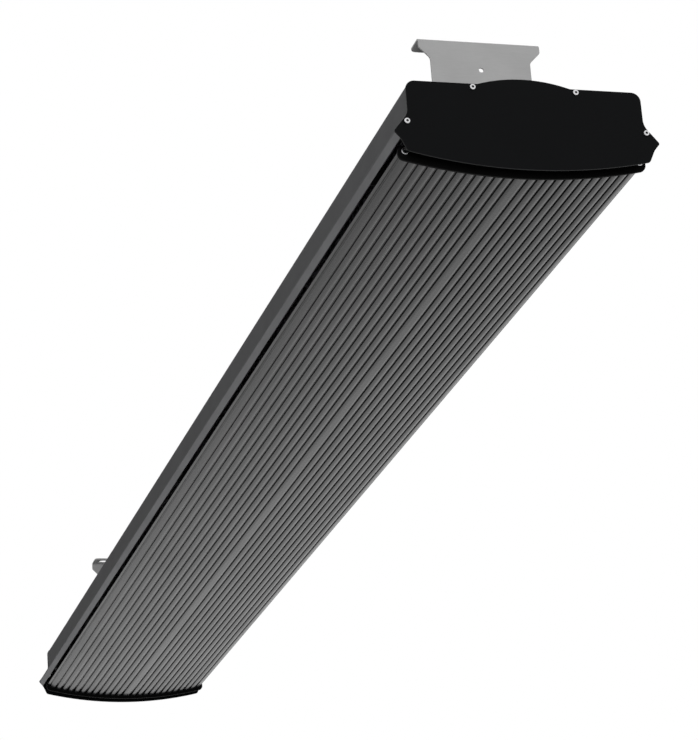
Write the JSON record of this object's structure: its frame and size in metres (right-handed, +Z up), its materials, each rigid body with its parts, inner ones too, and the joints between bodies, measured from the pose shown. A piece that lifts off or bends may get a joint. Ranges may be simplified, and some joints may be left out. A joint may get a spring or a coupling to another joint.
{
  "type": "infrared heater bar",
  "caption": "Long black ceiling-hung infrared heater with a ribbed radiant panel below and two hangers that tilt and slide along a rail.",
  "frame": {"origin": "middle of the right hanger's two ceiling slots, on the top face of its flange, which is the ceiling plane", "axes": "+X along the bar from the left end, where the cable enters, to the right end; +Y across the bar; +Z up to the ceiling"},
  "size_m": [1.4756, 0.189, 0.1371],
  "materials": {
    "housing_black": "satin powder-coated aluminium",
    "plate_black": "satin black paint",
    "panel_black": "black anodised aluminium",
    "cap_black": "matte black paint",
    "bright_screw": "bright stainless steel",
    "element_sheath": "heat-darkened alloy steel",
    "terminal_pin": "bright nickel steel",
    "ceramic_white": "unglazed ceramic",
    "mica": "pressed mica",
    "zinc_steel": "zinc-plated steel",
    "tray_bright": "bright rolled aluminium",
    "blanket_white": "ceramic-fibre felt",
    "brass": "plain brass",
    "cut_out_case": "moulded phenolic",
    "lead_brown": "silicone-sleeved lead",
    "lead_blue": "silicone-sleeved lead",
    "lead_green": "silicone-sleeved lead",
    "lead_grey": "glass-braid sleeved lead",
    "gland_black": "moulded nylon",
    "seal_grey": "silicone rubber",
    "hanger_grey": "matte blasted stainless steel",
    "foot_steel": "satin stainless steel",
    "fastener_steel": "bright stainless steel"
  },
  "bodies": {
    "right_hanger": {"right_hanger_plate": "hanger_grey"},
    "right_foot": {"right_foot_bracket": "foot_steel", "right_pivot_bolt": "fastener_steel", "right_pivot_nut": "fastener_steel", "right_lock_bolt": "fastener_steel", "right_lock_nut": "fastener_steel", "right_rail_bolt": "fastener_steel", "right_rail_nut": "fastener_steel", "right_washers": "fastener_steel"},
    "bar": {"housing": "housing_black", "right_end_plate": "plate_black", "left_end_plate": "plate_black", "right_plate_screws": "bright_screw", "left_plate_screws": "bright_screw", "radiant_panel": "panel_black", "right_panel_cap": "cap_black", "left_panel_cap": "cap_black", "right_cap_screws": "bright_screw", "left_cap_screws": "bright_screw", "front_element": "element_sheath", "rear_element": "element_sheath", "element_pins": "terminal_pin", "element_beads": "ceramic_white", "element_clamps": "zinc_steel", "clamp_screws": "zinc_steel", "cross_bars": "cap_black", "panel_bolts": "zinc_steel", "panel_nuts": "zinc_steel", "isolating_washers": "mica", "reflector_tray": "tray_bright", "insulation_blanket": "blanket_white", "terminal_block": "ceramic_white", "terminal_screws": "brass", "block_fixings": "zinc_steel", "thermal_cut_out": "cut_out_case", "cut_out_tabs": "brass", "cut_out_screws": "zinc_steel", "earth_stud": "brass", "earth_nut": "brass", "earth_tag": "zinc_steel", "lead_bushes": "ceramic_white", "live_lead": "lead_brown", "switched_lead": "lead_brown", "neutral_lead": "lead_blue", "link_lead": "lead_grey", "earth_lead": "lead_green", "gland_body": "gland_black", "gland_dome_nut": "gland_black", "gland_seal": "seal_grey", "gland_locknut": "gland_black"},
    "left_foot": {"left_foot_bracket": "foot_steel", "left_pivot_bolt": "fastener_steel", "left_pivot_nut": "fastener_steel", "left_lock_bolt": "fastener_steel", "left_lock_nut": "fastener_steel", "left_rail_bolt": "fastener_steel", "left_rail_nut": "fastener_steel", "left_washers": "fastener_steel"},
    "left_hanger": {"left_hanger_plate": "hanger_grey"}
  },
  "joints": [
    {"name": "right_tilt", "type": "hinge", "parent": "right_hanger", "child": "right_foot", "pos_m": [0.01, 0, -0.043], "axis": [1, 0, 0], "range_deg": [-45, 45]},
    {"name": "right_slide", "type": "slide", "parent": "right_foot", "child": "bar", "axis": [1, 0, 0], "range_m": [-0.079, 0.55]},
    {"name": "left_slide", "type": "slide", "parent": "bar", "child": "left_foot", "axis": [1, 0, 0], "range_m": [-0.085, 0.55]},
    {"name": "left_tilt", "type": "hinge", "parent": "left_foot", "child": "left_hanger", "pos_m": [-1.272, 0, -0.043], "axis": [1, 0, 0], "range_deg": [-45, 45]}
  ],
  "couplings": [
    {"joint": "left_tilt", "follows": "right_tilt", "ratio": -1}
  ]
}
